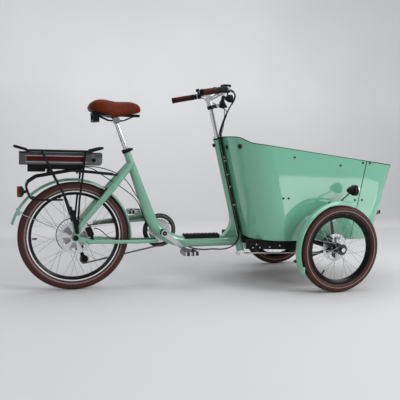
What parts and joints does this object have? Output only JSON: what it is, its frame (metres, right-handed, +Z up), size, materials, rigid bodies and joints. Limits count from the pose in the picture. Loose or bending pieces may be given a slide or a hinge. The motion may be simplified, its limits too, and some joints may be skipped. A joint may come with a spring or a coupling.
{
  "type": "cargo tricycle",
  "caption": "Pedal-assisted cargo tricycle with a deep box between two steered front wheels, a step-through frame, swept handlebar, sprung-look saddle and a battery rack over the rear wheel.",
  "frame": {"origin": "centre of the bounding box on the ground, under the tyres", "axes": "+X forward towards the box, +Y to the rider's left and away from the picture's camera, +Z up"},
  "size_m": [2.2387, 0.881, 1.1748],
  "materials": {
    "green_paint": "glossy sea-green enamel",
    "black_paint": "satin black powder coat",
    "black_plastic": "moulded black with a fine grain",
    "black_rubber": "dull black rubber",
    "cable_rubber": "smooth black sleeve",
    "floor_board": "sealed plywood",
    "tyre_brown": "dark brown tread rubber with pale sidewall lines",
    "rim_metal": "black anodised with a bright brake track",
    "spoke_steel": "bright drawn steel",
    "alloy": "satin silver",
    "chrome": "mirror chrome",
    "pedal_plastic": "black with a rough tread",
    "brown_leather": "smooth brown synthetic leather",
    "battery_case": "silver grey case"
  },
  "bodies": {
    "frame": {"frame": "green_paint", "step_pad": "black_rubber", "bearing_cups": "black_plastic", "box_shell": "green_paint", "box_front": "green_paint", "box_floor": "floor_board", "box_trim": "black_rubber", "box_screws": "spoke_steel", "axle_frame": "black_paint", "rear_fender": "green_paint", "fender_stays": "black_paint", "rack": "black_paint", "battery_dock": "black_plastic", "tail_light": "black_plastic", "chain_guard": "green_paint", "chain": "spoke_steel", "derailleur": "black_plastic", "rear_caliper": "black_plastic", "rear_axle": "spoke_steel", "seat_clamp": "black_paint", "frame_cables": "cable_rubber"},
    "steering": {"steering_post": "chrome", "stem": "alloy", "handlebar": "alloy", "grips": "brown_leather", "bar_controls": "black_plastic", "handlebar_cables": "cable_rubber"},
    "lever_near": {"brake_lever_near": "black_plastic"},
    "lever_far": {"brake_lever_far": "black_plastic"},
    "drag_link": {"drag_link": "alloy"},
    "tie_rod": {"tie_rod": "alloy"},
    "knuckle_near": {"knuckle_near": "black_paint", "front_fender_near": "green_paint", "fender_lamp": "black_plastic"},
    "knuckle_far": {"knuckle_far": "black_paint", "front_fender_far": "green_paint"},
    "front_wheel_near": {"front_tyre_near": "tyre_brown", "front_rim_near": "rim_metal", "front_spokes_near": "spoke_steel", "front_hub_near": "alloy"},
    "front_wheel_far": {"front_tyre_far": "tyre_brown", "front_rim_far": "rim_metal", "front_spokes_far": "spoke_steel", "front_hub_far": "alloy"},
    "rear_wheel": {"rear_tyre": "tyre_brown", "rear_rim": "rim_metal", "rear_spokes": "spoke_steel", "rear_hub": "alloy"},
    "freewheel": {"freewheel": "spoke_steel"},
    "crank": {"crankset": "alloy", "chainring": "alloy"},
    "pedal_near": {"pedal_near": "pedal_plastic"},
    "pedal_far": {"pedal_far": "pedal_plastic"},
    "guide_pulley": {"guide_pulley": "black_plastic"},
    "tension_pulley": {"tension_pulley": "black_plastic"},
    "seat": {"seatpost": "chrome", "saddle": "brown_leather", "saddle_base": "black_plastic"},
    "seat_lever": {"seat_lever": "black_paint"},
    "battery": {"battery": "battery_case"}
  },
  "joints": [
    {"name": "steering", "type": "hinge", "parent": "frame", "child": "steering", "pos_m": [0.21477, 0, 0.19], "axis": [-0.2487, 0, 0.9686], "range_deg": [-15, 15], "deforming": ["handlebar_cables"]},
    {"name": "knuckle_near_turn", "type": "hinge", "parent": "frame", "child": "knuckle_near", "pos_m": [0.65977, -0.315, 0.251], "axis": [-0.2487, 0, 0.9686], "range_deg": [-15, 15]},
    {"name": "knuckle_far_turn", "type": "hinge", "parent": "frame", "child": "knuckle_far", "pos_m": [0.65977, 0.315, 0.251], "axis": [-0.2487, 0, 0.9686], "range_deg": [-15, 15]},
    {"name": "drag_link_pivot", "type": "hinge", "parent": "steering", "child": "drag_link", "pos_m": [0.22248, 0.07, 0.15997], "axis": [-0.2487, 0, 0.9686], "range_deg": [-15, 15]},
    {"name": "tie_rod_pivot", "type": "hinge", "parent": "knuckle_near", "child": "tie_rod", "pos_m": [0.73839, -0.315, 0.22628], "axis": [-0.2487, 0, 0.9686], "range_deg": [-15, 15]},
    {"name": "front_wheel_near_spin", "type": "hinge", "parent": "knuckle_near", "child": "front_wheel_near", "pos_m": [0.65977, -0.4, 0.251], "axis": [0, 1, 0], "continuous": true},
    {"name": "front_wheel_far_spin", "type": "hinge", "parent": "knuckle_far", "child": "front_wheel_far", "pos_m": [0.65977, 0.4, 0.251], "axis": [0, 1, 0], "continuous": true},
    {"name": "rear_wheel_spin", "type": "hinge", "parent": "frame", "child": "rear_wheel", "pos_m": [-0.78523, 0, 0.3015], "axis": [0, 1, 0], "continuous": true},
    {"name": "crank_spin", "type": "hinge", "parent": "frame", "child": "crank", "pos_m": [-0.28823, 0, 0.314], "axis": [0, 1, 0], "continuous": true},
    {"name": "freewheel_spin", "type": "hinge", "parent": "frame", "child": "freewheel", "pos_m": [-0.78523, 0, 0.3015], "axis": [0, 1, 0], "continuous": true},
    {"name": "guide_pulley_spin", "type": "hinge", "parent": "frame", "child": "guide_pulley", "pos_m": [-0.75523, 0.047, 0.229], "axis": [0, 1, 0], "continuous": true},
    {"name": "tension_pulley_spin", "type": "hinge", "parent": "frame", "child": "tension_pulley", "pos_m": [-0.72523, 0.047, 0.158], "axis": [0, 1, 0], "continuous": true},
    {"name": "pedal_near_spin", "type": "hinge", "parent": "crank", "child": "pedal_near", "pos_m": [-0.15427, -0.066, 0.20934], "axis": [0, 1, 0], "continuous": true},
    {"name": "pedal_far_spin", "type": "hinge", "parent": "crank", "child": "pedal_far", "pos_m": [-0.42219, 0.066, 0.41866], "axis": [0, 1, 0], "continuous": true},
    {"name": "brake_lever_near_pull", "type": "hinge", "parent": "steering", "child": "lever_near", "pos_m": [-0.01203, -0.25633, 1.1233], "axis": [-0.1646, -0.0714, 0.9838], "range_deg": [-15, 0], "stiffness_Nm_per_rad": 1.5, "springref_deg": 11.46},
    {"name": "brake_lever_far_pull", "type": "hinge", "parent": "steering", "child": "lever_far", "pos_m": [-0.01203, 0.25633, 1.1233], "axis": [-0.1646, 0.0714, 0.9838], "range_deg": [0, 15], "stiffness_Nm_per_rad": 1.5, "springref_deg": -11.46},
    {"name": "seat_height", "type": "slide", "parent": "frame", "child": "seat", "axis": [-0.3502, 0, 0.9367], "range_m": [-0.1, 0.08]},
    {"name": "seat_lever_swing", "type": "hinge", "parent": "frame", "child": "seat_lever", "pos_m": [-0.47407, -0.032, 0.78873], "axis": [-0.3502, 0, 0.9367], "range_deg": [0, 150]},
    {"name": "battery_slide", "type": "slide", "parent": "frame", "child": "battery", "axis": [-1, 0, 0], "range_m": [0, 0.3]}
  ],
  "couplings": [
    {"joint": "knuckle_near_turn", "follows": "steering", "ratio": 1},
    {"joint": "knuckle_far_turn", "follows": "steering", "ratio": 1},
    {"joint": "drag_link_pivot", "follows": "steering", "ratio": -1},
    {"joint": "tie_rod_pivot", "follows": "steering", "ratio": -1},
    {"joint": "freewheel_spin", "follows": "crank_spin", "ratio": 2.2},
    {"joint": "guide_pulley_spin", "follows": "crank_spin", "ratio": -4},
    {"joint": "tension_pulley_spin", "follows": "crank_spin", "ratio": 4}
  ]
}
